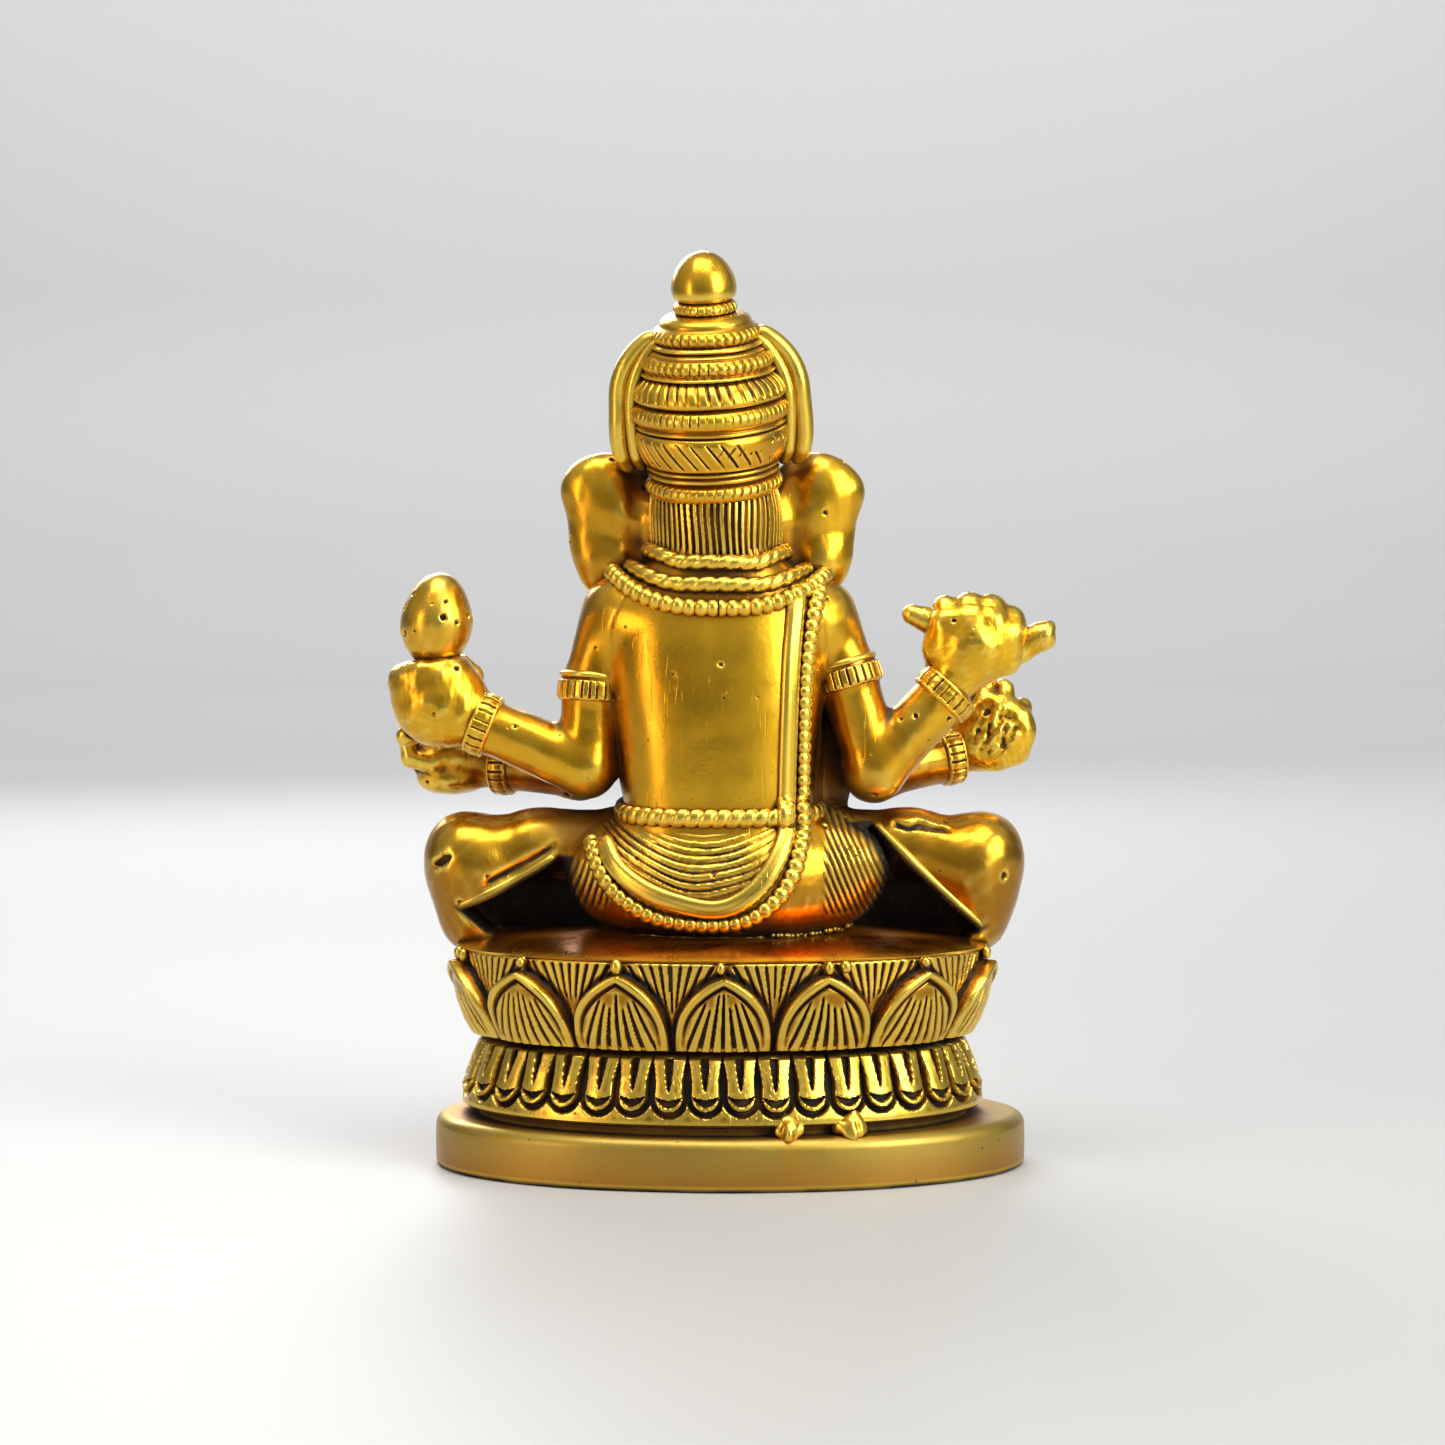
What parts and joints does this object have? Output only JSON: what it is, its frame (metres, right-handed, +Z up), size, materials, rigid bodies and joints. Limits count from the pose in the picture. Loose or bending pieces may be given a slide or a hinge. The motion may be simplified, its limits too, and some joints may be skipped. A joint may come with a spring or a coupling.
{
  "type": "seated idol figurine",
  "caption": "Cast brass seated elephant-headed idol with four arms and a tall crown, on a lotus pedestal and an oval plinth.",
  "frame": {"origin": "centre of the flat face that the oval plinth rests on", "axes": "+Z up, the figure faces -Y, and the figure's own left hand side is +X"},
  "size_m": [0.1089, 0.06, 0.15],
  "materials": {
    "brass": null
  },
  "bodies": {
    "root": {"plinth": "brass", "lower_petal_ring": "brass", "lotus_bowl": "brass", "seat_plate": "brass", "hips": "brass", "torso": "brass", "garland_1": "brass", "garland_2": "brass", "garland_3": "brass", "crown_band": "brass", "crown_dome": "brass", "crown_ridge": "brass", "crown_flute": "brass", "crown_bead_tier": "brass", "crown_upper_tier": "brass", "crown_collar": "brass", "crown_finial": "brass", "belt": "brass", "belly": "brass", "left_leg": "brass", "right_leg": "brass", "left_foot": "brass", "right_foot": "brass", "hair": "brass", "head": "brass", "sash_cord": "brass", "sash_beads": "brass", "left_crown_loop": "brass", "left_ear": "brass", "right_crown_loop": "brass", "right_ear": "brass", "trunk": "brass", "left_tusk": "brass", "right_tusk": "brass", "rear_left_armlet": "brass", "rear_left_wristband": "brass", "rear_left_upper_arm": "brass", "rear_left_forearm": "brass", "lotus_bud": "brass", "rear_left_hand": "brass", "rear_right_armlet": "brass", "rear_right_wristband": "brass", "rear_right_upper_arm": "brass", "rear_right_forearm": "brass", "goad_handle": "brass", "rear_right_hand": "brass", "front_left_wristband": "brass", "front_left_arm": "brass", "sweets_bowl": "brass", "sweets": "brass", "front_left_hand": "brass", "front_right_wristband": "brass", "front_right_arm": "brass", "front_right_hand": "brass"}
  },
  "joints": []
}
